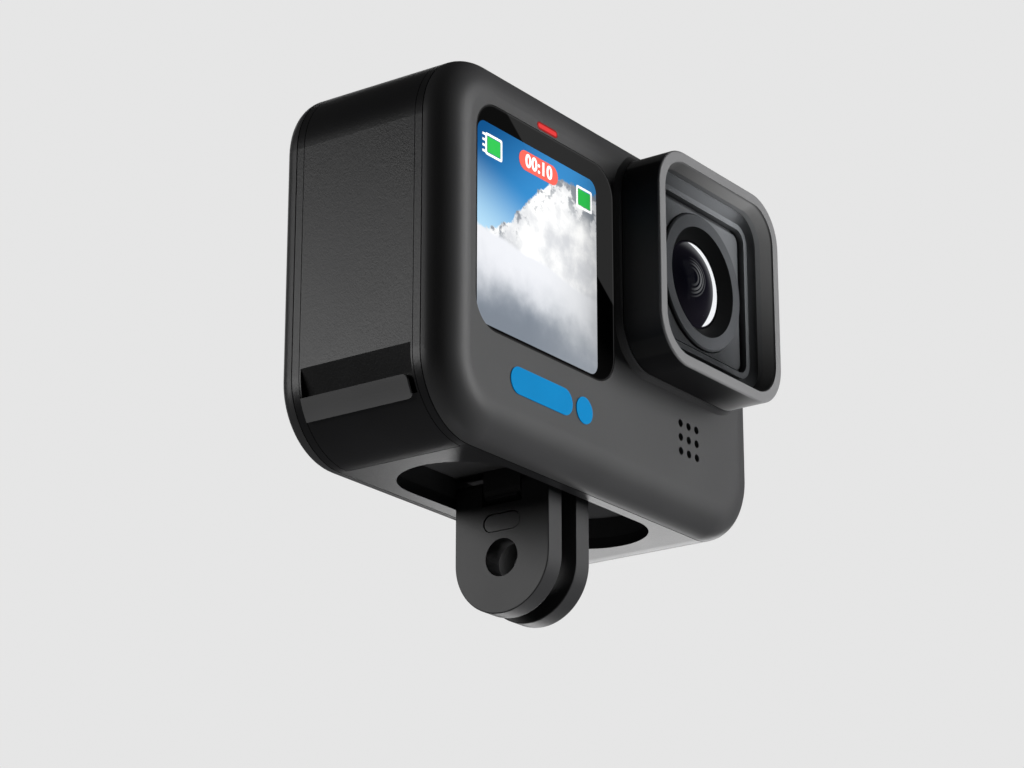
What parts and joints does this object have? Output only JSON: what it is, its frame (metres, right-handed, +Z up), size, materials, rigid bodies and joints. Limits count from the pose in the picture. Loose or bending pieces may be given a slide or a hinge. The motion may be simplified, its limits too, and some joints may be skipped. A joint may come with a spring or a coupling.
{
  "type": "action camera",
  "caption": "Pocket action camera with front and rear screens, a twist-off square lens cover, a hinged side door with a latch, and fold-out mounting fingers.",
  "frame": {"origin": "centre of the thumb-screw bore through the two mounting fingers, folded out", "axes": "+Z up, -Y to the front (the lens side), +X to the right seen from the front, so the battery door is on the -X side"},
  "size_m": [0.0721, 0.0336, 0.0663],
  "materials": {
    "body_plastic": "satin",
    "frame_plastic": "fine grain",
    "cover_plastic": "satin",
    "black_plastic": "matte",
    "window_glass": "polished",
    "lens_glass": "coated",
    "display_panel": "gloss",
    "red_lamp": "lit",
    "blue_accent": "satin",
    "seal_rubber": "matte",
    "steel": "satin",
    "aluminium": "satin",
    "circuit_board": "gloss",
    "chip_black": "matte",
    "battery_wrap": "matte",
    "tab_white": "matte",
    "contact_gold": "polished"
  },
  "bodies": {
    "camera_body": {"front_shell": "body_plastic", "mid_frame": "frame_plastic", "rear_shell": "body_plastic", "front_gasket": "seal_rubber", "rear_gasket": "seal_rubber", "front_window": "window_glass", "front_display": "display_panel", "front_display_cable": "contact_gold", "status_lamp": "red_lamp", "accent_inlay": "blue_accent", "rear_touch_glass": "window_glass", "rear_display": "display_panel", "rear_lamp": "red_lamp", "bayonet_ring": "black_plastic", "lens_barrel": "black_plastic", "front_lens": "lens_glass", "middle_lens": "lens_glass", "aperture_ring": "black_plastic", "rear_lens": "lens_glass", "infrared_filter": "lens_glass", "image_sensor": "chip_black", "sensor_board": "circuit_board", "door_hinge_pin": "steel", "finger_cradle": "black_plastic", "finger_hinge_pins": "steel", "shutter_switch": "steel", "mode_switch": "steel", "battery": "battery_wrap", "battery_pull_tab": "tab_white", "battery_sleeve": "black_plastic", "battery_contacts": "contact_gold", "usb_port": "steel", "card_socket": "steel", "port_board": "circuit_board", "main_board": "circuit_board", "processor": "chip_black", "heat_spreader": "aluminium", "speaker": "chip_black", "speaker_mesh": "steel", "microphones": "steel", "case_screws": "steel"},
    "left_finger": {"left_finger": "frame_plastic", "left_finger_pad": "frame_plastic"},
    "right_finger": {"right_finger": "frame_plastic", "right_finger_pad": "frame_plastic"},
    "side_door": {"side_door": "frame_plastic", "door_seal": "seal_rubber"},
    "door_latch": {"door_latch_bar": "frame_plastic"},
    "lens_cover": {"lens_cover_frame": "cover_plastic", "lens_cover_glass": "lens_glass", "lens_cover_bezel": "black_plastic", "lens_cover_seal": "seal_rubber"},
    "shutter_button": {"shutter_button": "body_plastic"},
    "mode_button": {"mode_button": "body_plastic"},
    "memory_card": {"memory_card": "chip_black"}
  },
  "joints": [
    {"name": "left_finger_fold", "type": "hinge", "parent": "camera_body", "child": "left_finger", "pos_m": [-0.0031, 0, 0.0094], "axis": [0, 1, 0], "range_deg": [0, 90]},
    {"name": "right_finger_fold", "type": "hinge", "parent": "camera_body", "child": "right_finger", "pos_m": [0.0031, 0, 0.0094], "axis": [0, -1, 0], "range_deg": [0, 90]},
    {"name": "side_door_swing", "type": "hinge", "parent": "camera_body", "child": "side_door", "pos_m": [-0.0254, 0, 0.0575], "axis": [0, 1, 0], "range_deg": [0, 100]},
    {"name": "door_latch_slide", "type": "hinge", "parent": "side_door", "child": "door_latch", "pos_m": [-0.0259, 0, 0.0177], "axis": [0, -1, 0], "range_deg": [0, 7], "stiffness_Nm_per_rad": 0.02, "springref_deg": -2.86},
    {"name": "lens_cover_twist", "type": "hinge", "parent": "camera_body", "child": "lens_cover", "pos_m": [0.01645, -0.018, 0.0404], "axis": [0, 1, 0], "range_deg": [0, 20]},
    {"name": "shutter_press", "type": "slide", "parent": "camera_body", "child": "shutter_button", "axis": [0, 0, -1], "range_m": [0, 0.0005], "stiffness_N_per_m": 1200, "springref_m": -0.0004},
    {"name": "mode_press", "type": "slide", "parent": "camera_body", "child": "mode_button", "axis": [-1, 0, 0], "range_m": [0, 0.0004], "stiffness_N_per_m": 1200, "springref_m": -0.0004},
    {"name": "memory_card_push", "type": "slide", "parent": "camera_body", "child": "memory_card", "axis": [1, 0, 0], "range_m": [0, 0.0008], "stiffness_N_per_m": 600, "springref_m": -0.0003}
  ]
}
